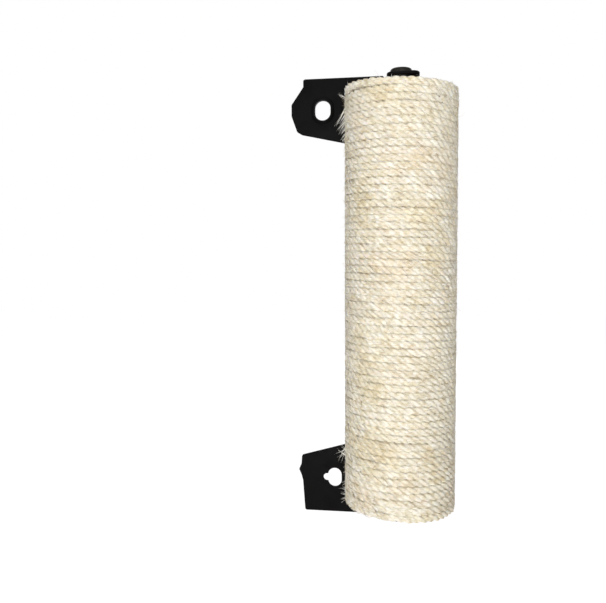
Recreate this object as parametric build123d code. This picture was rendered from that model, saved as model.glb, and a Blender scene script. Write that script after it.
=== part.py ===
"""Wall-mounted scratching post: a rope-wound tube held at both ends by a bent steel bracket.

Frame: X runs along the wall to the right, Y runs into the wall, Z runs up.
The origin lies on the wall's surface behind the post's axis, at the height of the upper screw hole.
All sizes are in millimetres.
"""
from build123d import *
from math import cos, pi, sin, sqrt
import os

# Rope winding
turn_count = 60              # turns counted along the front of the post
turn_pitch = 5.75            # one turn of six-millimetre rope pulled tight
rope_diameter = 5.3          # the tube that stands for the twisted rope
rope_seat_clearance = 0.15   # rope to core
end_section_turns = 12       # separate turns modelled at each end of the post

# Post
core_diameter = 80.0
core_wall = 5.0
plug_thickness = 18.0
plug_clearance = 0.2
nail_diameter = 1.5
nail_length = 15.0
nail_clearance = 0.05
nail_sink = 0.1              # nail's end below the core's surface
nail_start_angle = 45.0
nails_per_plug = 4

# Staple that holds a rope end
staple_wire_width = 1.2
staple_wire_thickness = 0.7
staple_span = 8.0
staple_bite = 3.5            # depth of the legs in the core's wall
staple_clearance = 0.06

# Bolted joint at each end
bolt_diameter = 7.8
bolt_hole_diameter = 8.6
bolt_head_diameter = 17.5
bolt_head_height = 2.8
bolt_head_round = 1.2
bolt_socket_across_flats = 5.0
bolt_socket_depth = 1.9
washer_diameter = 21.0
washer_thickness = 1.6
spacer_diameter = 26.0
insert_diameter = 12.0
insert_bore = 8.2
insert_length = 15.0
insert_flange_diameter = 15.0
insert_flange_thickness = 1.4
insert_clearance = 0.05
bolt_end_to_insert_end = 2.0

# Brackets: the "out" sizes are measured from the post's end, away from its middle
sheet_thickness = 3.0
bend_inner_radius = 3.0
sheet_edge_round = 0.6
corner_round = 2.0
plate_to_rope_gap = 1.2
screw_inset = 3.1            # both screw holes lie this far inside the post's ends
arm_left = 11.5              # arm's left side, from the post's axis
arm_right = 15.0
arm_front = 13.0             # arm's reach in front of the post's axis
arm_corner_round = 6.0
upper_arm_out = 13.0         # outer face of the arm
lower_arm_out = 10.2
relief_width = 3.5           # notch beside the arm, which lets it bend
relief_depth = 5.0           # notch's depth below the start of the bend
taper_start = 20.0           # the inner edge is level from the arm to here, then tapers

# Upper wing, seen from the front; distances left of the post's axis
upper_wing_out = 25.5
upper_wing_reach = 88.0
upper_shoulder_height = 6.9
upper_bevel_height = 15.6
upper_nose_length = 10.9
upper_nose_height = 10.3
upper_tuck_height = 14.2
upper_tuck_length = 5.1
upper_inner_corner_inset = 24.3
upper_inner_corner_reach = 89.2
upper_root_inset = 39.5
upper_hole_reach = 70.1
upper_hole_width = 14.2
upper_hole_height = 18.0
upper_collar_width = 3.4
upper_collar_height = 0.9

# Lower wing
lower_wing_out = 29.5
lower_wing_reach = 88.2
lower_waist_reach = 90.2
lower_waist_out = 0.8
lower_bump_reach = 93.9
lower_bump_inset = 9.7
lower_bump_height = 10.6
lower_bump_foot_reach = 91.6
lower_inner_corner_reach = 91.0
lower_inner_corner_inset = 23.2
lower_root_inset = 43.5
keyhole_head_reach = 60.0
keyhole_head_width = 12.7
keyhole_head_height = 17.7
keyhole_slot_height = 7.0
keyhole_slot_reach = 70.7

match_tolerance = 0.01       # two heights closer than this are the same

# Worked out from the sizes above
post_length = turn_count * turn_pitch
post_top = screw_inset
post_bottom = post_top - post_length
post_middle = (post_top + post_bottom) / 2
rope_centre_radius = core_diameter / 2 + rope_seat_clearance + rope_diameter / 2
post_radius = rope_centre_radius + rope_diameter / 2
axis_y = -(sheet_thickness + plate_to_rope_gap + post_radius)
bore_diameter = core_diameter - 2 * core_wall
first_turn_z = post_length / 2 - turn_pitch / 4


def winding_height(loops):
    """Height of the rope's centre line above mid-post, after so many loops from its upper end."""
    return first_turn_z - loops * turn_pitch


def on_axis(shape):
    """Move a shape from mid-post coordinates to its place in front of the wall."""
    return Pos(0, axis_y, post_middle) * shape


def turned_over(shape):
    """The same shape at the other end: half a turn about the post's front-to-back line."""
    return Rot(0, 180, 0) * shape


def half_turn(start_loops, start_side):
    """Half a turn of the rope's centre line, from the left (-1) or the right (1) side.

    The arc lies in a tilted plane, level where it meets its neighbours at the post's two sides.
    """
    z_start = winding_height(start_loops)
    z_end = winding_height(start_loops + 0.5)
    reach = sqrt(rope_centre_radius ** 2 + ((z_start - z_end) / 2) ** 2)
    return ThreePointArc(
        (start_side * rope_centre_radius, 0, z_start),
        (0, start_side * reach, (z_start + z_end) / 2),
        (-start_side * rope_centre_radius, 0, z_end),
    )


def rope_turns():
    """The rope's first turns, from its free end on the post's left side."""
    z_first = winding_height(0)
    z_last = winding_height(end_section_turns)
    left = -rope_centre_radius
    parts = [Line((left, rope_diameter, z_first), (left, 0, z_first))]
    for loop in range(end_section_turns):
        parts.append(half_turn(loop, -1))
        parts.append(half_turn(loop + 0.5, 1))
    parts.append(Line((left, 0, z_last), (left, -rope_diameter, z_last)))
    path = Wire(parts)
    section = Plane(origin=path @ 0, z_dir=path % 0) * Circle(rope_diameter / 2)
    return sweep(section, path=path)


def centre_line_point(loops):
    """A point on the rope's centre line, on the tilted arcs."""
    side_share = cos(2 * pi * loops)
    half = int(2 * loops)
    along = (1 - side_share) / 2 if half % 2 == 0 else (1 + side_share) / 2
    z = winding_height(half / 2) - along * turn_pitch / 2
    angle = 2 * pi * loops
    return (-rope_centre_radius * cos(angle), -rope_centre_radius * sin(angle), z)


def least_gap_between_turns(samples=720):
    """Smallest distance between the surfaces of neighbouring turns, measured on points."""
    first = [centre_line_point(i / samples) for i in range(samples)]
    second = [centre_line_point(1 + i / samples) for i in range(samples)]
    reach = samples // 24
    least = post_length
    for i, a in enumerate(first):
        for j in range(max(0, i - reach), min(samples, i + reach)):
            b = second[j]
            distance = sqrt((a[0] - b[0]) ** 2 + (a[1] - b[1]) ** 2 + (a[2] - b[2]) ** 2)
            least = min(least, distance)
    return least - rope_diameter


def block_above(x_low, x_high, y_low, y_high, z_at_left, slope):
    """Everything above a plane that rises by slope along X from z_at_left at the rope's left side."""
    top = post_length
    z_low = z_at_left + slope * (x_low + rope_centre_radius)
    z_high = z_at_left + slope * (x_high + rope_centre_radius)
    outline = Polyline((x_low, z_low), (x_high, z_high), (x_high, top), (x_low, top), close=True)
    face = Plane(origin=(0, y_high, 0), x_dir=(1, 0, 0), z_dir=(0, -1, 0)) * make_face(outline)
    return extrude(face, y_high - y_low)


def above_sleeve():
    """The space of the separate turns: two tilted planes with a step that the rope's end meets."""
    far = 2 * post_radius
    slope = turn_pitch / 4 / rope_centre_radius
    z_front = winding_height(end_section_turns - 0.5)
    z_back = winding_height(end_section_turns + 0.5)
    step = -rope_diameter
    front = block_above(-far, far, -far, step, z_front, -slope)
    front_right = block_above(0, far, step, 0, z_front, -slope)
    back = block_above(-far, far, 0, far, z_back, slope)
    back_left = block_above(-far, 0, step, 0, z_back, slope)
    return front + front_right + back + back_left


def rope_sleeve():
    """The turns between the two end sections, as one closed sleeve of their outer shape."""
    ring = Circle(post_radius) - Circle(core_diameter / 2 + rope_seat_clearance)
    sleeve = extrude(ring, post_length / 2, both=True)
    space = above_sleeve()
    return sleeve - space - turned_over(space)


def core_tube():
    """The tube that the rope is wound on, with its nail and staple holes."""
    tube = extrude(Circle(core_diameter / 2) - Circle(bore_diameter / 2), post_length / 2, both=True)
    holes = nails(nail_clearance) + staple(staple_clearance)
    return tube - holes - turned_over(holes)


def nails(clearance=0.0):
    """Headless nails through the core's wall into the upper plug."""
    radius = nail_diameter / 2 + clearance
    z = post_length / 2 - plug_thickness / 2
    pins = []
    for index in range(nails_per_plug):
        pin = Rot(0, -90, 0) * extrude(Circle(radius), nail_length + clearance)
        placed = Pos(core_diameter / 2 - nail_sink, 0, z) * pin
        pins.append(Rot(0, 0, nail_start_angle + index * 360 / nails_per_plug) * placed)
    return Part() + pins


def staple(clearance=0.0):
    """Staple over the rope's upper free end, its legs through the rope into the core's wall."""
    width = staple_wire_width + 2 * clearance
    thickness = staple_wire_thickness + 2 * clearance
    crown_inner = post_radius + staple_clearance
    crown_outer = crown_inner + staple_wire_thickness
    leg_end = core_diameter / 2 - staple_bite
    z = winding_height(0)
    crown = Box(staple_wire_thickness, staple_span, width)
    body = Pos(-(crown_inner + staple_wire_thickness / 2), 0, z) * crown
    leg_length = crown_outer - leg_end + clearance
    leg_middle = crown_outer - leg_length / 2
    for side in (-1, 1):
        leg_y = side * (staple_span - staple_wire_thickness) / 2
        body += Pos(-leg_middle, leg_y, z) * Box(leg_length, thickness, width)
    return body


def end_plug():
    """Wooden disc in the upper end of the core, bored for the threaded insert and the nails."""
    top = post_length / 2
    ring = Circle(bore_diameter / 2 - plug_clearance) - Circle(insert_diameter / 2 + insert_clearance)
    disc = Pos(0, 0, top - plug_thickness) * extrude(ring, plug_thickness)
    flange_seat = Pos(0, 0, top - insert_flange_thickness) * extrude(
        Circle(insert_flange_diameter / 2 + insert_clearance), insert_flange_thickness)
    return disc - flange_seat - nails(nail_clearance)


def thread_insert():
    """Flanged insert for the bolt, flush with the upper plug's face."""
    top = post_length / 2
    barrel = Pos(0, 0, top - insert_length) * extrude(Circle(insert_diameter / 2), insert_length)
    flange = Pos(0, 0, top - insert_flange_thickness) * extrude(
        Circle(insert_flange_diameter / 2), insert_flange_thickness)
    bore = Pos(0, 0, top - insert_length) * extrude(Circle(insert_bore / 2), insert_length)
    return barrel + flange - bore


def spacer(arm_out):
    """Bush between the plug and the inner face of the arm."""
    length = arm_out - sheet_thickness
    ring = Circle(spacer_diameter / 2) - Circle(bolt_hole_diameter / 2)
    return Pos(0, 0, post_length / 2) * extrude(ring, length)


def washer(arm_out):
    """Flat washer on the outer face of the arm."""
    ring = Circle(washer_diameter / 2) - Circle(bolt_hole_diameter / 2)
    return Pos(0, 0, post_length / 2 + arm_out) * extrude(ring, washer_thickness)


def bolt(arm_out):
    """Low-headed bolt with a hexagon socket, from the washer into the insert."""
    seat = post_length / 2 + arm_out + washer_thickness
    head = Pos(0, 0, seat) * extrude(Circle(bolt_head_diameter / 2), bolt_head_height)
    head = fillet(head.edges().sort_by(Axis.Z)[-1], bolt_head_round)
    shank_end = post_length / 2 - insert_length + bolt_end_to_insert_end
    shank = Pos(0, 0, shank_end) * extrude(Circle(bolt_diameter / 2), seat - shank_end)
    hexagon = RegularPolygon(bolt_socket_across_flats / 2, 6, major_radius=False)
    socket_floor = seat + bolt_head_height - bolt_socket_depth
    socket = Pos(0, 0, socket_floor) * extrude(hexagon, bolt_socket_depth)
    return head + shank - socket


def stadium(width, height):
    """Upright slot shape, round at both ends."""
    return Rot(0, 0, 90) * SlotOverall(height, width)


def drawn_on_wall(outline):
    """An outline laid on the wall's surface: X to the right, Y out from the post's end."""
    return Plane(origin=(0, 0, 0), x_dir=(1, 0, 0), z_dir=(0, -1, 0)) * outline


def plate_outline(wing_points, root_inset, wing_out, arm_out):
    """Flat plate behind the post, with rounded corners and the relief notch beside the arm."""
    bend_start = arm_out - sheet_thickness - bend_inner_radius
    points = [
        (-arm_left, wing_out),
        *wing_points,
        (-taper_start, -root_inset),
        (arm_right, -root_inset),
        (arm_right, bend_start),
        (-arm_left, bend_start),
    ]
    plate = make_face(Polyline(*points, close=True))
    plate = fillet([v for v in plate.vertices() if is_free_corner(v, bend_start, wing_out)], corner_round)
    notch_top = wing_out + relief_width
    notch_floor = bend_start - relief_depth
    notch = Pos(-arm_left - relief_width / 2, (notch_top + notch_floor) / 2) * stadium(
        relief_width, notch_top - notch_floor)
    plate = plate - notch
    wing_corner = plate.vertices().sort_by_distance((-arm_left - relief_width, wing_out))[0]
    return fillet(wing_corner, corner_round)


def is_free_corner(vertex, bend_start, wing_out):
    """True for a corner that is rounded before the notch is cut: not at the bend or the notch."""
    at_bend = abs(vertex.Y - bend_start) < match_tolerance
    at_notch = abs(vertex.X + arm_left) < match_tolerance and abs(vertex.Y - wing_out) < match_tolerance
    return not (at_bend or at_notch)


def arm_strip(arm_out):
    """The bend and the arm: a side profile drawn across the sheet, as wide as the arm."""
    inner = bend_inner_radius
    outer = bend_inner_radius + sheet_thickness
    front = -axis_y + arm_front
    bend_start = arm_out - outer
    profile = make_face([
        Line((0, bend_start), (sheet_thickness, bend_start)),
        RadiusArc((sheet_thickness, bend_start), (outer, arm_out - sheet_thickness), inner),
        Line((outer, arm_out - sheet_thickness), (front, arm_out - sheet_thickness)),
        Line((front, arm_out - sheet_thickness), (front, arm_out)),
        Line((front, arm_out), (outer, arm_out)),
        RadiusArc((outer, arm_out), (0, bend_start), -outer),
    ])
    across = Plane(origin=(-arm_left, 0, 0), x_dir=(0, -1, 0), z_dir=(-1, 0, 0))
    strip = extrude(across * profile, -(arm_left + arm_right))
    corners = strip.edges().filter_by(Axis.Z).group_by(Axis.Y)[0]
    strip = fillet(corners, arm_corner_round)
    strip = chamfer(sheet_rim_edges(strip, bend_start), sheet_edge_round)
    bolt_hole = Pos(0, axis_y, 0) * extrude(Circle(bolt_hole_diameter / 2), arm_out)
    return strip - bolt_hole


def sheet_rim_edges(sheet, bend_start):
    """Edges round a sheet's two faces, other than those at the bend line and across the thickness."""
    across = [e for e in sheet.edges() if is_across_sheet(e)]
    at_bend = [e for e in sheet.edges() if is_at_height(e, bend_start)]
    return [e for e in sheet.edges() if e not in across and e not in at_bend]


def is_across_sheet(edge):
    """True for a straight edge that is as long as the sheet is thick."""
    straight = edge.geom_type == GeomType.LINE
    return straight and abs(edge.length - sheet_thickness) < match_tolerance


def is_at_height(edge, height):
    """True for an edge that lies level at the given height."""
    box = edge.bounding_box()
    return abs(box.min.Z - height) < match_tolerance and abs(box.max.Z - height) < match_tolerance


def bracket(wing_points, root_inset, wing_out, arm_out, openings):
    """One bracket, with z = 0 at the post's end and +Z away from the post."""
    bend_start = arm_out - sheet_thickness - bend_inner_radius
    outline = plate_outline(wing_points, root_inset, wing_out, arm_out)
    plate = extrude(drawn_on_wall(outline - openings), sheet_thickness)
    plate = chamfer(sheet_rim_edges(plate, bend_start), sheet_edge_round)
    return plate + arm_strip(arm_out)


def upper_wing():
    """Corner points of the upper wing's end, from its outer edge round to its inner edge."""
    shoulder = upper_wing_out - upper_shoulder_height
    nose_top = shoulder - upper_bevel_height
    nose_low = nose_top - upper_nose_height
    nose_reach = upper_wing_reach + upper_nose_length
    return [
        (-upper_wing_reach, upper_wing_out),
        (-upper_wing_reach, shoulder),
        (-nose_reach, nose_top),
        (-nose_reach, nose_low),
        (-(nose_reach - upper_tuck_length), nose_low - upper_tuck_height),
        (-upper_inner_corner_reach, -upper_inner_corner_inset),
    ]


def lower_wing():
    """Corner points of the lower wing's end, from its outer edge round to its inner edge."""
    bump_low = lower_bump_inset - lower_bump_height / 2
    bump_high = lower_bump_inset + lower_bump_height / 2
    return [
        (-lower_wing_reach, lower_wing_out),
        (-lower_waist_reach, lower_waist_out),
        (-lower_bump_foot_reach, -bump_low),
        (-lower_bump_reach, -lower_bump_inset),
        (-lower_bump_foot_reach, -bump_high),
        (-lower_inner_corner_reach, -lower_inner_corner_inset),
    ]


def upper_bracket():
    """Bracket with the nosed wing and the slotted hole in its pressed collar."""
    hole = Pos(-upper_hole_reach, -screw_inset) * stadium(upper_hole_width, upper_hole_height)
    body = bracket(upper_wing(), upper_root_inset, upper_wing_out, upper_arm_out, hole)
    collar_outline = Pos(-upper_hole_reach, -screw_inset) * stadium(
        upper_hole_width + 2 * upper_collar_width, upper_hole_height + 2 * upper_collar_width)
    collar = extrude(drawn_on_wall(collar_outline - hole), sheet_thickness + upper_collar_height)
    top_face = collar.faces().sort_by(Axis.Y)[0]
    collar = chamfer(top_face.outer_wire().edges(), upper_collar_height, upper_collar_width / 2)
    return Pos(0, 0, post_top) * (body + collar)


def lower_bracket():
    """Bracket with the square wing and the keyhole, its arm under the post."""
    head = Pos(-keyhole_head_reach, -screw_inset) * stadium(keyhole_head_width, keyhole_head_height)
    slot_length = keyhole_slot_reach - keyhole_head_reach
    slot_middle = -(keyhole_head_reach + slot_length / 2 - keyhole_slot_height / 4)
    slot = Pos(slot_middle, -screw_inset) * SlotOverall(
        slot_length + keyhole_slot_height / 2, keyhole_slot_height)
    body = bracket(lower_wing(), lower_root_inset, lower_wing_out, lower_arm_out, head + slot)
    return Pos(0, 0, post_bottom) * mirror(body, about=Plane.XY)


def lower_end(shape):
    """Mirror a shape that belongs to the post's upper end to its lower end."""
    return mirror(shape, about=Plane.XY)


staple_space = staple(staple_clearance)
first_turns = rope_turns()
pinned_turns = first_turns - staple_space

nodes = {
    "core_tube": on_axis(core_tube()),
    "upper_end_plug": on_axis(end_plug()),
    "lower_end_plug": on_axis(turned_over(end_plug())),
    "upper_plug_nails": on_axis(nails()),
    "lower_plug_nails": on_axis(turned_over(nails())),
    "upper_thread_insert": on_axis(thread_insert()),
    "lower_thread_insert": on_axis(lower_end(thread_insert())),
    "upper_rope_turns": on_axis(pinned_turns),
    "middle_rope_turns": on_axis(rope_sleeve()),
    "lower_rope_turns": on_axis(turned_over(pinned_turns)),
    "upper_rope_staple": on_axis(staple()),
    "lower_rope_staple": on_axis(turned_over(staple())),
    "upper_spacer": on_axis(spacer(upper_arm_out)),
    "lower_spacer": on_axis(lower_end(spacer(lower_arm_out))),
    "upper_bracket": upper_bracket(),
    "lower_bracket": lower_bracket(),
    "upper_bolt_washer": on_axis(washer(upper_arm_out)),
    "lower_bolt_washer": on_axis(lower_end(washer(lower_arm_out))),
    "upper_bolt": on_axis(bolt(upper_arm_out)),
    "lower_bolt": on_axis(lower_end(bolt(lower_arm_out))),
}

os.makedirs("parts", exist_ok=True)
for name, shape in nodes.items():
    export_step(shape, f"parts/{name}.step")

loops_length = end_section_turns * 2 * pi * sqrt(rope_centre_radius ** 2 + (turn_pitch / 4) ** 2)
swept_volume = pi * (rope_diameter / 2) ** 2 * (loops_length + 2 * rope_diameter)
print(f"least gap between turns {least_gap_between_turns():.3f} mm")
print(f"rope section volume {first_turns.volume:.0f} mm3, section times length {swept_volume:.0f} mm3")
print(f"overall height {post_length + upper_wing_out + lower_wing_out:.1f} mm")
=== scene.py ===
"""Wall-mounted scratching post: laid sisal rope on a tube, held by two bent steel brackets.

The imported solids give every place. The rope, its loose fibres and its cut ends are built here as
surfaces; the steel, wood and paper parts keep their solids and are dressed with their finishes.
Sizes are in millimetres and turned to metres where a mesh is made.
"""

import logging
import math
from dataclasses import dataclass, field
from enum import Enum
from typing import Any

import bpy
import numpy as np
from mathutils import Matrix, Vector


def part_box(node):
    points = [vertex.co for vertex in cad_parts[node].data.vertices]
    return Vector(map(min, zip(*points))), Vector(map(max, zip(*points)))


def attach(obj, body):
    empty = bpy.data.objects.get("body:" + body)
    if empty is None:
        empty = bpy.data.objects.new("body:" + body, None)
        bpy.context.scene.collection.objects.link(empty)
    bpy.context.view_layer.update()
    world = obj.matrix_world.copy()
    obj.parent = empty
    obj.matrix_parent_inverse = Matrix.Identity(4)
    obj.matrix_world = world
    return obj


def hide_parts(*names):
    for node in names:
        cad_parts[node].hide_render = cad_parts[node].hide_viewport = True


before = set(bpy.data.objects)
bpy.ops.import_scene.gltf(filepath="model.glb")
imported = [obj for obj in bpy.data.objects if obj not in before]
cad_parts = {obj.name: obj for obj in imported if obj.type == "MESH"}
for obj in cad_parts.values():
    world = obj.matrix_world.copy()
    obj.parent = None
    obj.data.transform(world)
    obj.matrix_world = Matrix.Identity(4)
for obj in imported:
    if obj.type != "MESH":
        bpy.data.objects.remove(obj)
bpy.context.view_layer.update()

LOG = logging.getLogger("scratching_post")
MM = 0.001
BODY = "root"
TURN = 2.0 * math.pi
WAVE_BANDS = 20.0  # a wave texture runs this many radians over one unit of its scaled space

Material, Node, NodeTree = bpy.types.Material, bpy.types.Node, bpy.types.NodeTree
Triple = tuple[np.ndarray, np.ndarray, np.ndarray]


def linear(hex_colour: str) -> tuple[float, float, float, float]:
    """Turn an sRGB hex colour into linear light.

    Args:
        hex_colour: six hex digits with a leading mark, such as "#E9DFC8".

    Returns:
        Linear red, green, blue and an alpha of one.
    """
    code = hex_colour.lstrip("#")
    parts = [int(code[i:i + 2], 16) / 255.0 for i in (0, 2, 4)]
    light = [p / 12.92 if p <= 0.04045 else ((p + 0.055) / 1.055) ** 2.4 for p in parts]
    return (light[0], light[1], light[2], 1.0)


def per_metre(size_mm: float) -> float:
    """Pattern scale, on coordinates in metres, for features of this size."""
    return 1.0 / (size_mm * MM)


def add_node(
    tree: NodeTree,
    kind: str,
    settings: dict[str, Any] | None = None,
    values: dict[str, Any] | None = None,
    links: dict[str, tuple[Node, str]] | None = None,
    stops: list[tuple[float, str]] | None = None,
) -> Node:
    """Add one node with its settings, socket values, incoming links and colour stops.

    Args:
        tree: the node tree that takes the node.
        kind: Blender's name of the node type, after "ShaderNode".
        settings: attributes of the node.
        values: values of its input sockets, by socket name or number.
        links: incoming links, as socket name or number to (node, its output).
        stops: for a colour ramp, places from 0 to 1 with their hex colours.

    Returns:
        The new node.
    """
    node = tree.nodes.new("ShaderNode" + kind)
    for name, value in (settings or {}).items():
        setattr(node, name, value)
    for socket, value in (values or {}).items():
        node.inputs[socket].default_value = value
    for socket, (source, output) in (links or {}).items():
        tree.links.new(source.outputs[output], node.inputs[socket])
    if stops:
        ramp = node.color_ramp.elements
        while len(ramp) < len(stops):
            ramp.new(0.5)
        for element, (place, colour) in zip(ramp, stops):
            element.position = place
            element.color = linear(colour)
    return node


def new_material(name: str) -> tuple[Material, NodeTree]:
    """An empty node material and its tree."""
    material = bpy.data.materials.new(name)
    material.use_nodes = True
    material.node_tree.nodes.clear()
    return material, material.node_tree


class Finish:
    """A procedural material. Each kind of finish wires its own nodes and gives the shader."""

    name: str
    relief: float

    def shade(self, tree: NodeTree) -> Node:
        """Wire the nodes and return the shader."""
        raise NotImplementedError

    def lit(
        self,
        tree: NodeTree,
        height: tuple[Node, str],
        strength: float,
        values: dict[str, Any],
        links: dict[str, tuple[Node, str]],
    ) -> Node:
        """The surface shader over a bump of this finish's relief in millimetres.

        Args:
            tree: the node tree that takes the nodes.
            height: node and output that give the bump's height.
            strength: share of the bump that shows.
            values: values of the shader's sockets.
            links: incoming links of the shader.

        Returns:
            The shader.
        """
        bump = add_node(
            tree, "Bump", links={"Height": height},
            values={"Strength": strength, "Distance": self.relief * MM})
        return add_node(
            tree, "BsdfPrincipled", values=values, links=links | {"Normal": (bump, "Normal")})

    def build(self) -> Material:
        """Make the material and return it."""
        material, tree = new_material(self.name)
        shader = self.shade(tree)
        add_node(tree, "OutputMaterial", links={"Surface": (shader, "BSDF")})
        LOG.info("finish %s", self.name)
        return material


@dataclass(frozen=True)
class LaidSisal(Finish):
    """Natural sisal, combed and laid in three strands, undyed.

    The eye sees pale straw fibres that run along the rope on each strand's crown, brighter where
    they are bleached and greener or browner in places, with a soft lustre and a few dark flecks of
    leaf. The fibre pattern follows the rope's own UV map, which is in millimetres: U along the rope
    and V around it. Real fibres are 0.2 mm wide; they are drawn in bundles wide enough to show.
    """

    name: str = "sisal_laid_rope"
    bundle_width: float = 0.55
    bundle_length: float = 7.0
    fibre_width: float = 0.28
    fibre_length: float = 4.5
    blotch_size: float = 4.0
    patch_size: float = 38.0
    fleck_width: float = 0.9
    fleck_length: float = 2.6
    relief: float = 0.22
    glow: float = 1.1
    roughness: float = 0.62
    colour_stops: tuple[tuple[float, str], ...] = (
        (0.28, "#9A855A"),
        (0.40, "#CFC2A0"),
        (0.52, "#EDE7D8"),
        (0.68, "#FDFBF7"),
    )

    def shade(self, tree: NodeTree) -> Node:
        """Wire the nodes and return the shader."""
        uv = add_node(tree, "UVMap", settings={"uv_map": "rope_mm"})
        place = add_node(tree, "TexCoord")
        patterns = []
        for length, width, shift, grain in (
            (self.bundle_length, self.bundle_width, (0.0, 0.0, 0.0),
             {"Detail": 3.0, "Roughness": 0.6, "Distortion": 0.25}),
            (self.fibre_length, self.fibre_width, (3.7, 11.3, 0.0),
             {"Detail": 2.0, "Roughness": 0.5}),
            (self.fleck_length, self.fleck_width, (19.0, 5.0, 2.0),
             {"Detail": 1.0, "Roughness": 0.4}),
        ):
            space = add_node(
                tree, "Mapping", links={"Vector": (uv, "UV")},
                values={"Scale": (1 / length, 1 / width, 1.0), "Location": shift})
            patterns.append(add_node(
                tree, "TexNoise", links={"Vector": (space, "Vector")},
                values={"Scale": 1.0} | grain))
        bundles, fibres, flecks = patterns
        blotches = add_node(
            tree, "TexNoise", links={"Vector": (place, "Object")},
            values={"Scale": per_metre(self.blotch_size), "Detail": 2.0, "Roughness": 0.55})
        mixed = add_node(
            tree, "Mix", settings={"data_type": "FLOAT"}, values={"Factor": 0.42},
            links={"A": (bundles, "Fac"), "B": (fibres, "Fac")})
        tone = add_node(
            tree, "Mix", settings={"data_type": "FLOAT"}, values={"Factor": 0.34},
            links={"A": (mixed, "Result"), "B": (blotches, "Fac")})
        straw = add_node(
            tree, "ValToRGB", stops=list(self.colour_stops),
            links={"Fac": (tone, "Result")})
        patches = add_node(
            tree, "TexNoise", links={"Vector": (place, "Object")},
            values={"Scale": per_metre(self.patch_size), "Detail": 3.0, "Roughness": 0.5})
        patch_tint = add_node(
            tree, "ValToRGB", links={"Fac": (patches, "Fac")},
            stops=[(0.30, "#F1E8D0"), (0.50, "#FFFFFF"), (0.70, "#FBF3EA")])
        tinted = add_node(
            tree, "Mix", settings={"data_type": "RGBA", "blend_type": "MULTIPLY"},
            values={"Factor": 0.75}, links={6: (straw, "Color"), 7: (patch_tint, "Color")})
        fleck_mask = add_node(
            tree, "MapRange", links={"Value": (flecks, "Fac")},
            values={"From Min": 0.765, "From Max": 0.80, "To Min": 0.0, "To Max": 0.85})
        flecked = add_node(
            tree, "Mix", settings={"data_type": "RGBA"},
            links={0: (fleck_mask, "Result"), 6: (tinted, 2)}, values={7: linear("#6E5236")})
        return self.lit(
            tree, (mixed, "Result"), 0.9,
            values={"Roughness": self.roughness, "Specular IOR Level": 0.35,
                    "Sheen Weight": 0.15, "Sheen Roughness": 0.5, "Subsurface Weight": 0.45,
                    "Subsurface Radius": (1.0, 0.85, 0.6), "Subsurface Scale": self.glow * MM},
            links={"Base Color": (flecked, 2)})


@dataclass(frozen=True)
class LooseFibre(Finish):
    """Single sisal fibres that stand off the rope: straw, a few golden, fewer brown.

    Each fibre has one U value, and its colour comes from that.
    """

    name: str = "sisal_loose_fibre"
    roughness: float = 0.5
    colour_stops: tuple[tuple[float, str], ...] = (
        (0.0, "#4E3520"),
        (0.03, "#97794E"),
        (0.16, "#C4B186"),
        (0.42, "#E8DFC8"),
        (1.0, "#FDFBF5"),
    )

    def shade(self, tree: NodeTree) -> Node:
        """Wire the nodes and return the shader."""
        uv = add_node(tree, "UVMap", settings={"uv_map": "fibre_tone"})
        parts = add_node(tree, "SeparateXYZ", links={"Vector": (uv, "UV")})
        tone = add_node(
            tree, "ValToRGB", stops=list(self.colour_stops), links={"Fac": (parts, "X")})
        return add_node(
            tree, "BsdfPrincipled",
            values={"Roughness": self.roughness, "Specular IOR Level": 0.4},
            links={"Base Color": (tone, "Color")})


@dataclass(frozen=True)
class PowderCoat(Finish):
    """Black polyester powder coat, sprayed and baked on bent steel sheet.

    It gives a deep black with a dull sheen and a slight orange peel. Real orange peel is about
    1 mm across; it is drawn at 2.2 mm so that it shows. Handling leaves faint duller rubs.
    """

    name: str = "powder_coat_black"
    peel_size: float = 2.2
    rub_size: float = 16.0
    dust_size: float = 0.9
    relief: float = 0.03

    def shade(self, tree: NodeTree) -> Node:
        """Wire the nodes and return the shader."""
        place = add_node(tree, "TexCoord")
        peel, rubs, dust = (
            add_node(
                tree, "TexNoise", links={"Vector": (place, "Object")},
                values={"Scale": per_metre(size), "Detail": detail, "Roughness": roughness})
            for size, detail, roughness in (
                (self.peel_size, 1.0, 0.4), (self.rub_size, 5.0, 0.62), (self.dust_size, 1.0, 0.5)))
        dust_mask = add_node(
            tree, "MapRange", links={"Value": (dust, "Fac")},
            values={"From Min": 0.70, "From Max": 0.80, "To Min": 0.0, "To Max": 0.5})
        colour = add_node(
            tree, "Mix", settings={"data_type": "RGBA"},
            links={0: (dust_mask, "Result")},
            values={6: linear("#040303"), 7: linear("#171512")})
        dullness = add_node(
            tree, "MapRange", links={"Value": (rubs, "Fac")},
            values={"From Min": 0.3, "From Max": 0.7, "To Min": 0.40, "To Max": 0.62})
        return self.lit(
            tree, (peel, "Fac"), 0.5, values={"Specular IOR Level": 0.05},
            links={"Base Color": (colour, 2), "Roughness": (dullness, "Result")})


class PlateTone(Enum):
    """Colours of zinc plating: (dark, light, lowest roughness, highest roughness)."""

    BLACK = ("#131211", "#2B2926", 0.30, 0.50)
    BRIGHT = ("#9A9DA0", "#D5D7D8", 0.18, 0.36)


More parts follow.
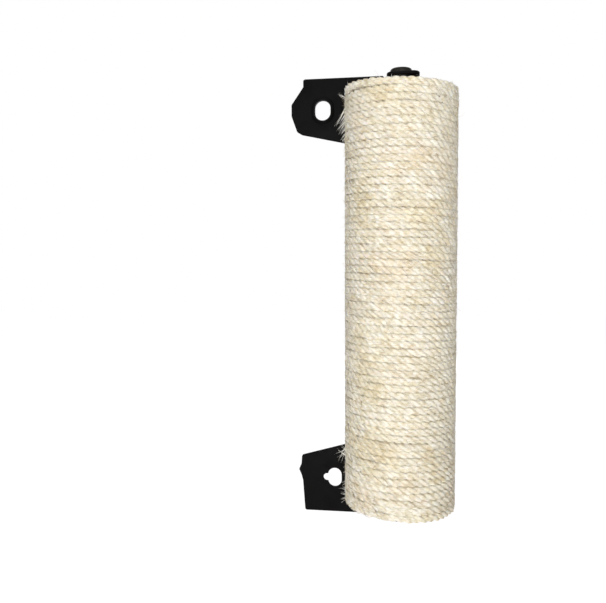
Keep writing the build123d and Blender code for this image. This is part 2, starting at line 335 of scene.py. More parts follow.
@dataclass(frozen=True)
class ZincPlate(Finish):
    """Electroplated zinc on turned or drawn steel, bright or with a black passivate.

    It gives a metal that is slightly cloudy, with fine turning marks around the bolt's axis.
    """

    name: str
    tone: PlateTone
    cloud_size: float = 5.0
    mark_spacing: float = 0.5
    mark_length: float = 12.0
    relief: float = 0.012

    def shade(self, tree: NodeTree) -> Node:
        """Wire the nodes and return the shader."""
        dark, light, polished, dull = self.tone.value
        place = add_node(tree, "TexCoord")
        clouds = add_node(
            tree, "TexNoise", links={"Vector": (place, "Object")},
            values={"Scale": per_metre(self.cloud_size), "Detail": 4.0, "Roughness": 0.55})
        colour = add_node(
            tree, "ValToRGB", links={"Fac": (clouds, "Fac")},
            stops=[(0.35, dark), (0.70, light)])
        dullness = add_node(
            tree, "MapRange", links={"Value": (clouds, "Fac")},
            values={"From Min": 0.3, "From Max": 0.7, "To Min": polished, "To Max": dull})
        mark_space = add_node(
            tree, "Mapping", links={"Vector": (place, "Object")},
            values={"Scale": (per_metre(self.mark_length), per_metre(self.mark_length),
                              per_metre(self.mark_spacing))})
        marks = add_node(
            tree, "TexNoise", links={"Vector": (mark_space, "Vector")},
            values={"Scale": 1.0, "Detail": 2.0, "Roughness": 0.5})
        return self.lit(
            tree, (marks, "Fac"), 0.5, values={"Metallic": 1.0},
            links={"Base Color": (colour, "Color"), "Roughness": (dullness, "Result")})


@dataclass(frozen=True)
class KraftTube(Finish):
    """Spirally wound kraft board: brown paper with long fibres and the seams of its plies.

    The plies are about 118 mm wide and wound at a slant, so a thin darker seam climbs the tube.
    """

    name: str = "kraft_board_tube"
    ply_width: float = 118.44
    fibre_size: float = 1.6
    cloud_size: float = 22.0
    relief: float = 0.05

    def shade(self, tree: NodeTree) -> Node:
        """Wire the nodes and return the shader."""
        place = add_node(tree, "TexCoord")
        fibres = add_node(
            tree, "TexNoise", links={"Vector": (place, "Object")},
            values={"Scale": per_metre(self.fibre_size), "Detail": 5.0, "Roughness": 0.7})
        clouds = add_node(
            tree, "TexNoise", links={"Vector": (place, "Object")},
            values={"Scale": per_metre(self.cloud_size), "Detail": 3.0})
        slant = add_node(
            tree, "Mapping", links={"Vector": (place, "Object")},
            values={"Rotation": (math.radians(28.0), 0.0, 0.0)})
        seams = add_node(
            tree, "TexWave", links={"Vector": (slant, "Vector")},
            settings={"bands_direction": "Z", "wave_profile": "SAW"},
            values={"Scale": per_metre(self.ply_width) * TURN / WAVE_BANDS, "Distortion": 0.0})
        seam_mask = add_node(
            tree, "MapRange", links={"Value": (seams, "Fac")},
            values={"From Min": 0.97, "From Max": 1.0, "To Min": 0.0, "To Max": 0.7})
        tone = add_node(
            tree, "Mix", settings={"data_type": "FLOAT"}, values={"Factor": 0.45},
            links={"A": (fibres, "Fac"), "B": (clouds, "Fac")})
        paper = add_node(
            tree, "ValToRGB", links={"Fac": (tone, "Result")},
            stops=[(0.32, "#8E6A45"), (0.52, "#B28C62"), (0.70, "#C8A57B")])
        seamed = add_node(
            tree, "Mix", settings={"data_type": "RGBA"},
            links={0: (seam_mask, "Result"), 6: (paper, "Color")}, values={7: linear("#5F442B")})
        return self.lit(
            tree, (fibres, "Fac"), 0.6, values={"Roughness": 0.85, "Specular IOR Level": 0.3},
            links={"Base Color": (seamed, 2)})


@dataclass(frozen=True)
class PoplarPly(Finish):
    """Rotary-cut poplar plywood, sawn to a disc: pale wood with long grain and layered edges.

    The grain runs along X on the faces; the edge shows plies of 3 mm in two tones.
    """

    name: str = "poplar_plywood"
    grain_width: float = 1.8
    grain_length: float = 26.0
    ply_thickness: float = 2.961
    relief: float = 0.04

    def shade(self, tree: NodeTree) -> Node:
        """Wire the nodes and return the shader."""
        place = add_node(tree, "TexCoord")
        stretch = add_node(
            tree, "Mapping", links={"Vector": (place, "Object")},
            values={"Scale": (per_metre(self.grain_length), per_metre(self.grain_width),
                              per_metre(self.grain_width))})
        grain = add_node(
            tree, "TexNoise", links={"Vector": (stretch, "Vector")},
            values={"Scale": 1.0, "Detail": 4.0, "Roughness": 0.55, "Distortion": 0.5})
        wood = add_node(
            tree, "ValToRGB", links={"Fac": (grain, "Fac")},
            stops=[(0.34, "#B9986C"), (0.52, "#D9BF93"), (0.68, "#E8D4AE")])
        layers = add_node(
            tree, "TexWave", links={"Vector": (place, "Object")},
            settings={"bands_direction": "Z"},
            values={"Scale": per_metre(2 * self.ply_thickness) * TURN / WAVE_BANDS,
                    "Distortion": 0.0})
        layer_tone = add_node(
            tree, "MapRange", links={"Value": (layers, "Fac")},
            values={"From Min": 0.45, "From Max": 0.55, "To Min": 0.0, "To Max": 0.35})
        layered = add_node(
            tree, "Mix", settings={"data_type": "RGBA", "blend_type": "MULTIPLY"},
            links={0: (layer_tone, "Result"), 6: (wood, "Color")}, values={7: linear("#B08A5C")})
        return self.lit(
            tree, (grain, "Fac"), 0.6, values={"Roughness": 0.7, "Specular IOR Level": 0.3},
            links={"Base Color": (layered, 2)})


@dataclass
class Surface:
    """A mesh as whole arrays: points in millimetres, faces as corner lists, and corner UVs."""

    points: np.ndarray
    corners: np.ndarray
    face_sizes: np.ndarray
    uv: np.ndarray

    def piece(self, name: str, uv_name: str, finish: Material) -> bpy.types.Object:
        """Put the surface into the scene as one piece.

        Args:
            name: the piece's name.
            uv_name: the name of its UV map.
            finish: its material.

        Returns:
            The new object, at the origin, riding on the object's one body.
        """
        mesh = bpy.data.meshes.new(name)
        mesh.vertices.add(len(self.points))
        mesh.vertices.foreach_set("co", (self.points * MM).astype(np.float32).ravel())
        mesh.loops.add(len(self.corners))
        mesh.loops.foreach_set("vertex_index", self.corners.astype(np.int32))
        starts = np.concatenate(([0], np.cumsum(self.face_sizes)[:-1]))
        mesh.polygons.add(len(self.face_sizes))
        mesh.polygons.foreach_set("loop_start", starts.astype(np.int32))
        mesh.polygons.foreach_set("use_smooth", np.ones(len(self.face_sizes), bool))
        layer = mesh.uv_layers.new(name=uv_name)
        layer.uv.foreach_set("vector", self.uv.astype(np.float32).ravel())
        mesh.update(calc_edges=True)
        mesh.materials.append(finish)
        item = bpy.data.objects.new(name, mesh)
        bpy.context.scene.collection.objects.link(item)
        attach(item, BODY)
        triangles = int((self.face_sizes - 2).sum())
        LOG.info("piece %s: %d points, %d triangles", name, len(self.points), triangles)
        return item


def wander(along: np.ndarray, spacing: float, size: float, rng: np.random.Generator) -> np.ndarray:
    """A smooth random change along a length.

    Random heights stand at evenly spaced knots, and between two knots the value follows the
    smooth step 3t^2 - 2t^3 from one height to the next.

    Args:
        along: distances along the length, in millimetres.
        spacing: distance between knots.
        size: the heights' standard deviation.
        rng: the seeded source of the heights.

    Returns:
        The value at each distance.
    """
    place = (along - along.min()) / spacing
    knots = rng.normal(0.0, size, int(place.max()) + 3)
    index = place.astype(int)
    share = place - index
    share = share * share * (3.0 - 2.0 * share)
    return knots[index] * (1.0 - share) + knots[index + 1] * share


def unit(vectors: np.ndarray) -> np.ndarray:
    """The same vectors at length one."""
    return vectors / np.maximum(np.linalg.norm(vectors, axis=-1, keepdims=True), 1e-12)


@dataclass(frozen=True)
class Post:
    """Where the post stands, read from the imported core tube, in millimetres."""

    axis_x: float
    axis_y: float
    bottom: float
    top: float
    core_radius: float

    @classmethod
    def from_frame(cls) -> "Post":
        """Read the post's place from the core tube's box."""
        low, high = (np.array(corner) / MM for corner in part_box("core_tube"))
        middle = (low + high) / 2
        return cls(middle[0], middle[1], low[2], high[2], (high[0] - low[0]) / 2)

    @property
    def length(self) -> float:
        """Length of the post."""
        return self.top - self.bottom

    def on_surface(self, angle: np.ndarray, radius: np.ndarray, z: np.ndarray) -> np.ndarray:
        """Points by angle round the axis, 0 at the left and growing to the front, radius and z."""
        x = self.axis_x - radius * np.cos(angle)
        y = self.axis_y - radius * np.sin(angle)
        return np.stack([x, y, z], axis=-1)


@dataclass(frozen=True)
class Winding:
    """The rope's centre line: half-turn arcs in tilted planes, level at the post's two sides.

    It starts at the left, goes to the front and down to the right, and falls one pitch a turn.
    """

    post: Post
    pitch: float = 5.75
    radius: float = 42.95
    loops: float = 59.5
    tail: float = 5.3
    start_rise: float = 1.6
    rise_loops: float = 0.33

    def height(self, loops: np.ndarray) -> np.ndarray:
        """Height after so many loops.

        On each half turn the height falls half a pitch, as the share of the way across from one
        side to the other, which is (1 - cos)/2 of the angle run on that half. The pinned start
        rides up a little, by a smooth step over the first third of a turn.

        Args:
            loops: loops run from the start.

        Returns:
            Heights in millimetres.
        """
        first = (self.post.top + self.post.bottom) / 2 + self.post.length / 2 - self.pitch / 4
        half = np.floor(2.0 * loops)
        share = (1.0 - np.cos(2.0 * np.pi * loops - np.pi * half)) / 2.0
        pinned = np.clip(1.0 - loops / self.rise_loops, 0.0, 1.0)
        rise = self.start_rise * pinned * pinned * (3.0 - 2.0 * pinned)
        return first + rise - (half + share) * self.pitch / 2.0

    def centre(self, along: np.ndarray) -> tuple[np.ndarray, np.ndarray]:
        """Centre line by arc length, with a straight tail at both ends.

        Args:
            along: distances from the winding's start; below 0 and past the end are the tails.

        Returns:
            Points on the centre line and the angle round the post at each.
        """
        around = TURN * self.radius
        wound = np.clip(along / around, 0.0, self.loops)
        angle = TURN * wound
        point = self.post.on_surface(angle, np.full_like(angle, self.radius), self.height(wound))
        point[:, 1] += np.maximum(-along, 0.0) + np.maximum(along - self.loops * around, 0.0)
        return point, angle


@dataclass(frozen=True)
class StrandProfile:
    """Cross-section of a three-strand rope, pressed by its neighbours.

    Round lobes of one radius stand around the rope's centre; the outline is their outer edge. It
    turns once in a lay length. It is spread to the sides, where neighbouring turns are packed into
    each other, and pressed in by a fixed share past a set distance towards the core.
    """

    strands: int = 3
    columns_per_strand: int = 8
    lobe_offset: float = 1.06
    lobe_radius: float = 2.02
    lay_length: float = 18.6
    press_from: float = 2.2
    core_press: float = 0.80
    side_spread: float = 1.085
    half_turn_height: float = 2.875
    shoulder: float = 0.78

    def outline(self) -> Triple:
        """The outline once around.

        Within a strand's sector, at angle t from its middle, the radius is
        c cos t + sqrt(a^2 - c^2 sin^2 t), for a lobe of radius a whose centre is c from the axis.

        Returns:
            Angles of the columns, their radii, and the strand that each column belongs to.
        """
        columns = self.strands * self.columns_per_strand
        index = np.arange(columns + 1)
        sector = TURN / self.strands
        angle = index * TURN / columns
        inside = np.mod(angle, sector) - sector / 2
        radius = self.lobe_offset * np.cos(inside) + np.sqrt(
            self.lobe_radius ** 2 - (self.lobe_offset * np.sin(inside)) ** 2)
        return angle, radius, index // self.columns_per_strand

    def shouldered(self, depth: np.ndarray, side: np.ndarray) -> np.ndarray:
        """Outward distances, filled out towards the neighbouring turns.

        Strands that are squeezed from both sides bulge beside the groove: the outward distance
        grows by a share of the square of the distance to the side over half a turn's height.
        """
        return depth * (1.0 + self.shoulder * (side / self.half_turn_height) ** 2)

    def pressed(self, depth: np.ndarray) -> np.ndarray:
        """Distances towards the core, with what lies past the limit pressed in."""
        over = np.maximum(-depth - self.press_from, 0.0)
        return depth + over * (1.0 - self.core_press)


@dataclass
class RopeWinding:
    """The laid rope on the post, in pieces, with its loose fibres and cut ends."""

    post: Post
    winding: Winding
    profile: StrandProfile = field(default_factory=StrandProfile)
    ring_spacing: float = 1.0
    cuts: tuple[float, ...] = (0.0, 11.75, 23.75, 35.75, 47.75, 59.5)
    strand_swell: float = 0.05
    lay_wander: float = 0.30
    side_wander: float = 0.16
    depth_wander: float = 0.096
    lay_knots: float = 55.0
    swell_knots: float = 9.0
    side_knots: float = 31.0
    depth_knots: float = 23.0
    core_clearance: float = 0.02
    ramp_from_staple: float = 0.5
    pole_height: float = 0.5
    strand_shift: float = 37.0
    staple_reach: float = 4.4
    staple_seat: float = 2.5
    crown_limit: float = 3.45
    seed: int = 3

    def build(self) -> None:
        """Make the rope's pieces, its fibres and its cut ends."""
        rope_finish = LaidSisal().build()
        self.make_rope(rope_finish)
        fibre_finish = LooseFibre().build()
        fibres = LooseFibres(self.post, self.winding)
        for name, surface in fibres.make():
            item = surface.piece(name, "fibre_tone", fibre_finish)

    def make_rope(self, finish: Material) -> None:
        """Sweep the strand profile along the winding and cut it into pieces.

        A point is centre + n * outward + b * across, where (n, b) is the outline turned by the
        lay angle 2 pi s / lay, so the strands fall to the right at the front as they do on a
        right-laid rope. No crown stands out past the limit that clears the plates behind the post.
        """
        rng = np.random.default_rng(self.seed)
        around = TURN * self.winding.radius
        start = -self.winding.tail
        end = self.winding.loops * around + self.winding.tail
        along = np.linspace(start, end, int((end - start) / self.ring_spacing))
        centre, turned = self.winding.centre(along)
        forward = unit(np.gradient(centre, axis=0))
        outward = np.stack([-np.cos(turned), -np.sin(turned), np.zeros_like(turned)], axis=-1)
        outward = unit(outward - forward * np.sum(outward * forward, axis=-1, keepdims=True))
        across = np.cross(forward, outward)
        lay = TURN * along / self.profile.lay_length + wander(
            along, self.lay_knots, self.lay_wander, rng)
        angle, radius, strand = self.profile.outline()
        swell = np.stack([
            1.0 + wander(along, self.swell_knots, self.strand_swell, rng)
            for _ in range(self.profile.strands)], axis=-1)
        ring_angle = lay[:, None] + angle[None, :]
        ring_radius = radius[None, :] * swell[:, strand % self.profile.strands]
        side = ring_radius * np.sin(ring_angle) * self.profile.side_spread
        side += wander(along, self.side_knots, self.side_wander, rng)[:, None]
        depth = ring_radius * np.cos(ring_angle)
        depth = np.where(
            depth < 0, self.profile.pressed(depth),
            self.profile.shouldered(depth, side))
        depth += wander(along, self.depth_knots, self.depth_wander, rng)[:, None]
        from_end = np.minimum(np.abs(along), np.abs(along - self.winding.loops * around))
        room = self.staple_seat + self.ramp_from_staple * np.maximum(
            from_end - self.staple_reach, 0.0)
        depth = np.minimum(depth, np.minimum(room, self.crown_limit)[:, None])
        innermost = self.post.core_radius + self.core_clearance - self.winding.radius
        depth = np.maximum(depth, innermost)
        points = (centre[:, None, :] + depth[..., None] * outward[:, None, :]
                  + side[..., None] * across[:, None, :])
        uv_around = float(radius.mean()) * ring_angle
        names = ["rope_upper_turns", "rope_high_turns", "rope_mid_turns", "rope_low_turns",
                 "rope_lower_turns"]
        stands_for = ["upper_rope_turns", "middle_rope_turns", "middle_rope_turns",
                      "middle_rope_turns", "lower_rope_turns"]
        for index, name in enumerate(names):
            first = start if index == 0 else self.cuts[index] * around
            last = end if index == len(names) - 1 else self.cuts[index + 1] * around
            rings = np.flatnonzero((along >= first - 1e-6) & (along <= last + self.ring_spacing))
            surface = self.closed_tube(
                points[rings], forward[rings], along[rings], uv_around[rings], strand)
            item = surface.piece(name, "rope_mm", finish)
            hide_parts(stands_for[index])

    def closed_tube(
        self,
        rings: np.ndarray,
        forward: np.ndarray,
        along: np.ndarray,
        around: np.ndarray,
        strand: np.ndarray,
    ) -> Surface:
        """Join rings of points into a tube closed by a pole at both ends.

        Args:
            rings: points as ring by column, with the first column repeated at the end.
            forward: direction of the tube at each ring.
            along: arc length at each ring.
            around: distance around the rope at each ring and column.
            strand: the strand of each column.

        Returns:
            The closed surface, with U along the rope and V around it, each strand on its own V.
        """
        count, columns = rings.shape[0], rings.shape[1] - 1
        body = rings[:, :columns]
        poles = np.stack([
            body[0].mean(axis=0) - forward[0] * self.pole_height,
            body[-1].mean(axis=0) + forward[-1] * self.pole_height])
        points = np.concatenate([body.reshape(-1, 3), poles])
        ring, column = np.meshgrid(np.arange(count - 1), np.arange(columns), indexing="ij")
        ring, column = ring.ravel(), column.ravel()
        following = (column + 1) % columns
        quads = np.stack([
            ring * columns + column, ring * columns + following,
            (ring + 1) * columns + following, (ring + 1) * columns + column], axis=-1)
        shift = (strand[column] % self.profile.strands) * self.strand_shift
        quad_u = np.stack([along[ring], along[ring], along[ring + 1], along[ring + 1]], axis=-1)
        quad_v = np.stack([
            around[ring, column], around[ring, column + 1],
            around[ring + 1, column + 1], around[ring + 1, column]], axis=-1) + shift[:, None]
        col = np.arange(columns)
        nxt = (col + 1) % columns
        last = (count - 1) * columns
        pole = count * columns
        start_cap = np.stack([np.full(columns, pole), nxt, col], axis=-1)
        end_cap = np.stack([np.full(columns, pole + 1), last + col, last + nxt], axis=-1)
        caps = np.concatenate([start_cap, end_cap])
        cap_uv = np.stack([caps * 0.37, caps * 0.61], axis=-1)
        corners = np.concatenate([quads.ravel(), caps.ravel()])
        sizes = np.concatenate([np.full(len(quads), 4), np.full(len(caps), 3)])
        uv = np.concatenate([
            np.stack([quad_u, quad_v], axis=-1).reshape(-1, 2), cap_uv.reshape(-1, 2)])
        return Surface(points, corners, sizes, uv)


@dataclass
class LooseFibres:
    """Sisal fibres that have come away from the rope, each a thin three-sided tapering hair.

    Each kind of fibre is given as paths (hair by step), root radii and tones.
    """

    post: Post
    winding: Winding
    lying_count: int = 7500
    standing_count: int = 8500
    lying_groups: int = 3
    steps: int = 5
    surface_radius: float = 45.95
    root_radius: float = 45.1
    wall_limit: float = -3.05
    lying_heading: tuple[float, float] = (-14.0, 26.0)
    lying_curl: float = 0.22
    lying_lift: float = 0.15
    hump_share: float = 1.25
    standing_lift: tuple[float, float] = (30.0, 7.0)
    standing_curl: float = 0.35
    droop: float = 0.25
    root_lift: float = 0.3
    wisp_change: float = 0.18
    cut_radius: float = 2.5
    cut_depth: float = 1.2
    seed: int = 11

    def make(self) -> list[tuple[str, Surface]]:
        """Grow every group of fibres.

        Returns:
            A name and a surface for each group.
        """
        rng = np.random.default_rng(self.seed)
        groups = []
        for index in range(self.lying_groups):
            groups.append((f"fibres_lying_{index + 1}", self.hairs(*self.lying(rng))))
        groups.append(("fibres_standing", self.hairs(*self.standing(rng))))
        groups.append(("fibres_wisps", self.hairs(*self.wisps(rng))))
        groups.append(("fibres_rope_ends", self.hairs(*self.frayed_ends(rng))))
        return groups

    def spread(self, count: int, rng: np.random.Generator) -> tuple[np.ndarray, np.ndarray]:
        """Random roots all over the rope: an angle round the post and a height for each."""
        angle = rng.uniform(0.0, TURN, count)
        z = rng.uniform(self.post.bottom + 2.0, self.post.top - 2.0, count)
        return angle, z

    def lying(self, rng: np.random.Generator) -> Triple:
        """Fibres that lie on the rope, mostly along it, with both ends tucked in.

        In the unrolled surface a fibre is a shallow parabola of its own length and direction; its
        radius rises from the root to a low hump and falls again, as sin(pi t).
        """
        count = self.lying_count
        t = np.linspace(0.0, 1.0, self.steps)[None, :]
        angle, z = self.spread(count, rng)
        length = rng.gamma(4.0, 2.1, count)[:, None] + 2.0
        heading = rng.normal(*np.radians(self.lying_heading), count)[:, None]
        curl = rng.normal(0.0, self.lying_curl, count)[:, None]
        run = length * (t * np.cos(heading) - curl * t * (1 - t) * np.sin(heading))
        climb = length * (t * np.sin(heading) + curl * t * (1 - t) * np.cos(heading))
        hump = rng.uniform(0.35, 1.0, count)[:, None] * np.sin(np.pi * t)
        rise = (self.surface_radius - self.root_radius) * hump * self.hump_share
        radius = self.root_radius + self.lying_lift + rise
        height = np.clip(z[:, None] + climb, self.post.bottom + 0.5, self.post.top - 0.3)
        paths = self.post.on_surface(angle[:, None] + run / self.surface_radius, radius, height)
        return paths, rng.uniform(0.09, 0.22, count), rng.uniform(0.0, 1.0, count)

    def standing(self, rng: np.random.Generator) -> Triple:
        """Fibres that stand off the rope and droop or curl a little.

        The radius grows by length * sin(lift) * t, less a share of t squared, so none dips back
        into the rope.
        """
        count = self.standing_count
        t = np.linspace(0.0, 1.0, self.steps)[None, :]
        angle, z = self.spread(count, rng)
        length = (rng.gamma(2.2, 1.25, count) + 0.9)[:, None]
        spread, least = np.radians(self.standing_lift)
        lift = np.abs(rng.normal(0.0, spread, count))[:, None] + least
        heading = rng.uniform(0.0, TURN, count)[:, None]
        curl = rng.normal(0.0, self.standing_curl, count)[:, None]
        flat = length * np.cos(lift)
        run = flat * (t * np.cos(heading) - curl * t * t * np.sin(heading))
        climb = flat * (t * np.sin(heading) + curl * t * t * np.cos(heading))
        rise = length * np.sin(lift) * (t - self.droop * t * t)
        height = np.clip(z[:, None] + climb, self.post.bottom - 1.5, self.post.top + 1.5)
        paths = self.post.on_surface(
            angle[:, None] + run / self.surface_radius, self.root_radius + self.root_lift + rise,
            height)
        return paths, rng.uniform(0.08, 0.15, count), rng.uniform(0.02, 1.0, count)

    def wisps(self, rng: np.random.Generator) -> Triple:
        """Longer wisps that stand out to the left beside the brackets, and strays over the top.

        Each is drawn by its root's drop below the post's top, its angle, how far it reaches out
        and how far it climbs; a few hairs with small changes make one wisp.
        """
        drawn = np.array([
            # drop, angle, reach out, climb, hairs
            (1.8, 10.0, 1.2, 4.6, 5),
            (1.8, 22.0, 0.8, 4.2, 5),
            (1.6, 36.0, 0.5, 3.4, 5),
            (1.4, 52.0, 0.4, 2.6, 5),
            (1.0, 77.0, 0.6, 7.6, 1),
            (0.8, 80.0, 0.5, 4.4, 1),
            (0.9, 73.0, 0.8, 5.4, 1),
            (3.8, 4.0, 5.4, 3.4, 3),
            (6.0, 3.0, 4.6, 2.6, 2),
            (11.5, 6.0, 9.0, -13.0, 3),
            (16.0, 4.0, 6.3, -5.6, 3),
            (19.1, 3.0, 4.7, -7.2, 3),
            (23.5, 5.0, 6.4, -8.1, 4),
            (28.9, 3.0, 4.6, -4.8, 4),
            (34.0, 3.0, 4.0, -5.4, 3),
            (37.1, 3.0, 3.1, -4.0, 3),
            (297.0, 5.0, 6.6, -13.1, 2),
            (299.2, 3.0, 8.9, -3.7, 2),
            (299.9, 4.0, 7.2, 4.2, 2),
            (302.7, 3.0, 8.7, -6.3, 2),
            (306.0, 4.0, 8.2, 6.8, 3),
            (318.5, 3.0, 3.0, -2.7, 2),
            (327.8, 4.0, 3.6, -1.8, 2),
            (335.5, 3.0, 3.8, 2.4, 2),
            (339.2, 4.0, 5.3, 2.5, 3),
            (342.8, 4.0, 4.5, -1.6, 3),
        ])
        rows = np.repeat(drawn, drawn[:, 4].astype(int), axis=0)
        count = len(rows)
        t = np.linspace(0.0, 1.0, self.steps)[None, :]
        vary = rng.normal(0.0, 1.0, (5, count))
        angle = np.radians(rows[:, 1] + 2.0 * vary[0])[:, None]
        reach = (rows[:, 2] * (1.0 + self.wisp_change * vary[1]))[:, None]
        climb = (rows[:, 3] * (1.0 + self.wisp_change * vary[2]))[:, None]
        bow = (self.wisp_change * vary[3])[:, None] * t * (1 - t)
        radius = self.root_radius + self.root_lift + reach * (t + bow)
        height = (self.post.top - rows[:, 0] + 0.8 * vary[4])[:, None] + climb * (t - bow)
        paths = self.post.on_surface(angle + 0.05 * t * vary[0][:, None], radius, height)
        return paths, rng.uniform(0.20, 0.30, count), rng.uniform(0.7, 1.0, count)

    def frayed_ends(self, rng: np.random.Generator) -> Triple:
        """Short fibres at the rope's two cut ends, spreading from the cut towards the wall.
        """
        per_end = 130
        t = np.linspace(0.0, 1.0, self.steps)[None, :, None]
        around = TURN * self.winding.radius
        groups = []
        for place in (-self.winding.tail, self.winding.loops * around + self.winding.tail):
            centre, turned = self.winding.centre(np.array([place]))
            outward = np.array([-math.cos(turned[0]), 0.0, 0.0])
            spot = rng.uniform(0.0, TURN, per_end)
            off = self.cut_radius * np.sqrt(rng.uniform(0.0, 1.0, per_end))
            root = centre[0] + off[:, None] * (
                np.cos(spot)[:, None] * outward + np.sin(spot)[:, None] * np.array([0.0, 0.0, 1.0]))
            root[:, 1] -= self.cut_depth
            length = rng.uniform(2.0, 5.2, per_end)[:, None]
            splay = rng.normal(0.0, 0.16, (per_end, 3)) + 0.10 * (root - centre[0])
            heading = unit(np.array([0.0, 1.0, 0.0]) + splay)
            bend = rng.normal(0.0, 0.14, (per_end, 3))
            groups.append(root[:, None, :] + length[:, :, None] * (
                heading[:, None, :] * t + bend[:, None, :] * t * t))
        paths = np.concatenate(groups)
        return paths, rng.uniform(0.10, 0.20, len(paths)), rng.uniform(0.2, 1.0, len(paths))

    def hairs(self, paths: np.ndarray, radii: np.ndarray, tones: np.ndarray) -> Surface:
        """Three-sided tapering tubes along many short paths.

        A ring of three points stands around each path point but the last, which is the tip. The
        ring's size falls from the root's radius to a third of it. No hair goes further back than
        the front face of the plates on the wall.

        Args:
            paths: points as hair by step.
            radii: root radius of each hair.
            tones: value from 0 to 1 that picks each hair's colour.

        Returns:
            The closed hairs as one surface.
        """
        count, steps, _ = paths.shape
        paths[..., 1] = np.minimum(paths[..., 1], self.wall_limit - radii[:, None])
        sides = 3
        rings = steps - 1
        tangent = unit(np.gradient(paths, axis=1))
        away = paths - np.array([self.post.axis_x, self.post.axis_y, 0.0])
        away[..., 2] = 0.3
        across = unit(np.cross(tangent, unit(away)))
        lifted = np.cross(across, tangent)
        taper = np.linspace(1.0, 0.35, rings)[None, :, None]
        turn = np.arange(sides) * TURN / sides
        ring = (np.cos(turn)[:, None] * across[:, :rings, None, :]
                + np.sin(turn)[:, None] * lifted[:, :rings, None, :])
        ring = paths[:, :rings, None, :] + ring * (radii[:, None, None] * taper)[..., None]
        per_hair = rings * sides + 1
        points = np.concatenate([ring.reshape(count, -1, 3), paths[:, -1:, :]], axis=1)
        level, corner = np.meshgrid(np.arange(rings - 1), np.arange(sides), indexing="ij")
        level, corner = level.ravel(), corner.ravel()
        following = (corner + 1) % sides
        quads = np.stack([
            level * sides + corner, (level + 1) * sides + corner,
            (level + 1) * sides + following, level * sides + following], axis=-1)
        last = (rings - 1) * sides
        side = np.arange(sides)
        tips = np.stack([last + side, np.full(sides, per_hair - 1), last + (side + 1) % sides],
                        axis=-1)
        root = np.arange(sides)[None, :]
        hair_corners = np.concatenate([quads.ravel(), tips.ravel(), root.ravel()])
        hair_sizes = np.concatenate([np.full(len(quads), 4), np.full(len(tips) + 1, 3)])
        offset = np.arange(count)[:, None] * per_hair
        corners = (hair_corners[None, :] + offset).ravel()
        sizes = np.tile(hair_sizes, count)
        tone = np.repeat(tones, len(hair_corners))
        uv = np.stack([tone, np.full_like(tone, 0.5)], axis=-1)
        return Surface(points.reshape(-1, 3), corners, sizes, uv)


def dress(finish: Material, *nodes: str) -> None:
    """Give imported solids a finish.

    Args:
        finish: the material.
        *nodes: names of the solids.
    """
    for node in nodes:
        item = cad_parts[node]
        item.data.materials.clear()
        item.data.materials.append(finish)
        LOG.info("solid %s: %s", node, finish.name)


@dataclass
class CoreAndPlugs:
    """The tube inside the rope, its wooden end plugs and what is pressed or nailed into them."""

    tube: KraftTube = field(default_factory=KraftTube)
    plug: PoplarPly = field(default_factory=PoplarPly)
    wire: ZincPlate = ZincPlate("zinc_plate_bright", PlateTone.BRIGHT)

    def build(self) -> None:
        """Dress the core's solids."""
        dress(self.tube.build(), "core_tube")
        dress(self.plug.build(), "upper_end_plug", "lower_end_plug")
        dress(
            self.wire.build(), "upper_plug_nails", "lower_plug_nails", "upper_thread_insert",
            "lower_thread_insert", "upper_rope_staple", "lower_rope_staple")


@dataclass
class WallBrackets:
    """The two bent steel brackets, with the bolts, washers and spacers that clamp the post."""

    sheet: PowderCoat = field(default_factory=PowderCoat)
    fastener: ZincPlate = ZincPlate("zinc_plate_black", PlateTone.BLACK)

    def build(self) -> None:
        """Dress the brackets' and the bolted joints' solids."""
        dress(self.sheet.build(), "upper_bracket", "lower_bracket")
        dress(
            self.fastener.build(), "upper_bolt", "lower_bolt", "upper_bolt_washer",
            "lower_bolt_washer", "upper_spacer", "lower_spacer")


@dataclass(frozen=True)
class SoftBox:
    """A large square lamp: its place, what it faces, its side in metres and its power in watts."""

    name: str
    place: tuple[float, float, float]
    target: tuple[float, float, float]
    side: float
    power: float


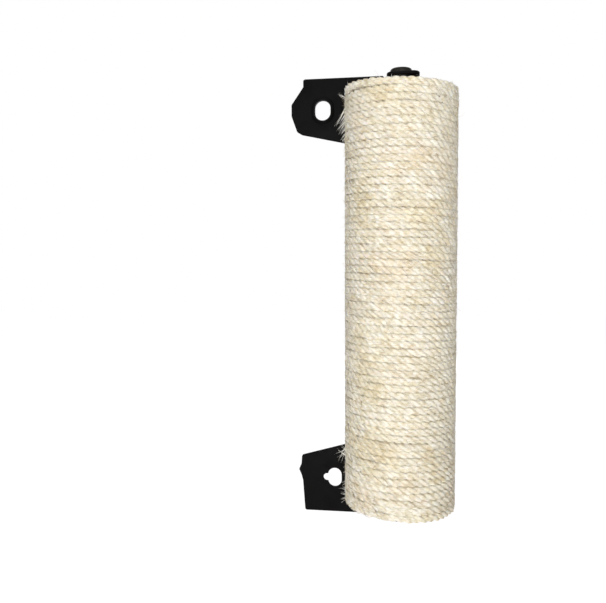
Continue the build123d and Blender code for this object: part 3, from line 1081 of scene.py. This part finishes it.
@dataclass
class Studio:
    """Camera, soft lamps, pale floor and white surroundings."""

    post: Post
    camera_distance: float = 559.0
    camera_drop: float = 136.7
    camera_yaw: float = 8.38
    camera_pitch: float = 3.74
    camera_roll: float = -0.33
    focal_pixels: float = 660.9
    picture_width: float = 606.0
    sensor_width: float = 36.0
    floor_height: float = -0.50
    floor_side: float = 8.0
    floor_glow_share: float = 0.85
    floor_glow: float = 1.16
    sky_strength: float = 0.09
    lamps: tuple[SoftBox, ...] = (
        SoftBox("key_front", (0.00, -1.70, -0.28), (0.0, -0.05, -0.17), 0.6, 28.6),
        SoftBox("side_left", (-1.35, -1.00, 0.65), (0.0, -0.05, -0.17), 1.0, 1.8),
        SoftBox("side_right", (1.35, -0.90, 0.30), (0.0, -0.05, -0.17), 1.0, 0.3),
        SoftBox("back_left", (-0.45, 1.80, 0.55), (0.0, -0.05, -0.17), 1.0, 8.0),
        SoftBox("back_right", (0.40, 1.85, 0.00), (0.0, -0.05, -0.17), 0.8, 6.0),
        SoftBox("top_soft", (0.0, -0.25, 1.60), (0.0, -0.05, -0.17), 1.4, 5.0),
    )

    def build(self) -> None:
        """Make the camera, the lamps, the floor and the surroundings."""
        self.make_camera()
        for lamp in self.lamps:
            self.make_lamp(lamp)
        self.make_floor()
        self.make_sky()
        bpy.context.scene.view_settings.view_transform = "Standard"

    def make_camera(self) -> None:
        """Camera straight in front of the post, turned to the left and a little down.

        The view direction is (-sin y cos p, cos y cos p, -sin p) for yaw y and pitch p; right and
        up are then turned about it by the roll.
        """
        yaw, pitch, roll = (
            math.radians(a) for a in (self.camera_yaw, self.camera_pitch, self.camera_roll))
        forward = Vector((
            -math.sin(yaw) * math.cos(pitch), math.cos(yaw) * math.cos(pitch), -math.sin(pitch)))
        level_right = Vector((math.cos(yaw), math.sin(yaw), 0.0))
        level_up = level_right.cross(forward)
        right = math.cos(roll) * level_right + math.sin(roll) * level_up
        up = -math.sin(roll) * level_right + math.cos(roll) * level_up
        turn = Matrix((right, up, -forward)).transposed().to_4x4()
        place = Vector((
            self.post.axis_x, self.post.axis_y - self.camera_distance,
            self.post.top - self.camera_drop)) * MM
        data = bpy.data.cameras.new("photo_camera")
        data.sensor_width = self.sensor_width
        data.lens = self.focal_pixels / self.picture_width * self.sensor_width
        data.clip_start, data.clip_end = 0.01, 30.0
        camera = bpy.data.objects.new("photo_camera", data)
        camera.matrix_world = Matrix.Translation(place) @ turn
        bpy.context.scene.collection.objects.link(camera)
        bpy.context.scene.camera = camera

    def make_lamp(self, lamp: SoftBox) -> None:
        """Place one soft box, facing its target."""
        data = bpy.data.lights.new(lamp.name, "AREA")
        data.shape, data.size, data.energy = "SQUARE", lamp.side, lamp.power
        item = bpy.data.objects.new(lamp.name, data)
        place = Vector(lamp.place)
        facing = (Vector(lamp.target) - place).to_track_quat("-Z", "Y")
        item.matrix_world = Matrix.Translation(place) @ facing.to_matrix().to_4x4()
        bpy.context.scene.collection.objects.link(item)
        LOG.info("lamp %s: %.1f W", lamp.name, lamp.power)

    def seen_directly(self, tree: NodeTree) -> Node:
        """One for rays that show the surroundings: from the camera, off gloss or through glass."""
        path = add_node(tree, "LightPath")
        gloss = add_node(
            tree, "Math", settings={"operation": "MAXIMUM"},
            links={0: (path, "Is Camera Ray"), 1: (path, "Is Glossy Ray")})
        return add_node(
            tree, "Math", settings={"operation": "MAXIMUM"},
            links={0: (gloss, "Value"), 1: (path, "Is Transmission Ray")})

    def make_floor(self) -> None:
        """A wide level floor below the post, near white, which takes the post's shadow."""
        half = self.floor_side / 2
        corners = np.array([[-half, -half], [half, -half], [half, half], [-half, half]])
        points = np.column_stack([corners, np.full(4, self.floor_height)])
        mesh = bpy.data.meshes.new("studio_floor")
        mesh.from_pydata(points.tolist(), [], [(0, 1, 2, 3)])
        material, tree = new_material("studio_floor_paper")
        seen = self.seen_directly(tree)
        part = add_node(
            tree, "Math", settings={"operation": "MULTIPLY"}, values={1: self.floor_glow_share},
            links={0: (seen, "Value")})
        paper = add_node(tree, "BsdfDiffuse", values={"Color": linear("#F7F7F7")})
        glow = add_node(
            tree, "Emission", values={"Color": linear("#FFFFFF"), "Strength": self.floor_glow})
        mixed = add_node(
            tree, "MixShader",
            links={0: (part, "Value"), 1: (paper, "BSDF"), 2: (glow, "Emission")})
        add_node(tree, "OutputMaterial", links={"Surface": (mixed, "Shader")})
        mesh.materials.append(material)
        floor = bpy.data.objects.new("studio_floor", mesh)
        bpy.context.scene.collection.objects.link(floor)

    def make_sky(self) -> None:
        """White to the eye, and a dimmer even light on the object."""
        world = bpy.data.worlds.new("studio_surroundings")
        world.use_nodes = True
        tree = world.node_tree
        tree.nodes.clear()
        seen = self.seen_directly(tree)
        light = add_node(
            tree, "Background",
            values={"Color": linear("#FFFFFF"), "Strength": self.sky_strength})
        white = add_node(
            tree, "Background", values={"Color": linear("#FFFFFF"), "Strength": 1.0})
        mixed = add_node(
            tree, "MixShader",
            links={0: (seen, "Value"), 1: (light, "Background"), 2: (white, "Background")})
        add_node(tree, "OutputWorld", links={"Surface": (mixed, "Shader")})
        bpy.context.scene.world = world


def main() -> None:
    """Build every sub-assembly in order and report each."""
    logging.basicConfig(level=logging.INFO, format="%(name)s: %(message)s")
    post = Post.from_frame()
    Studio(post).build()
    RopeWinding(post, Winding(post)).build()
    CoreAndPlugs().build()
    WallBrackets().build()


if __name__ == "__main__":
    main()
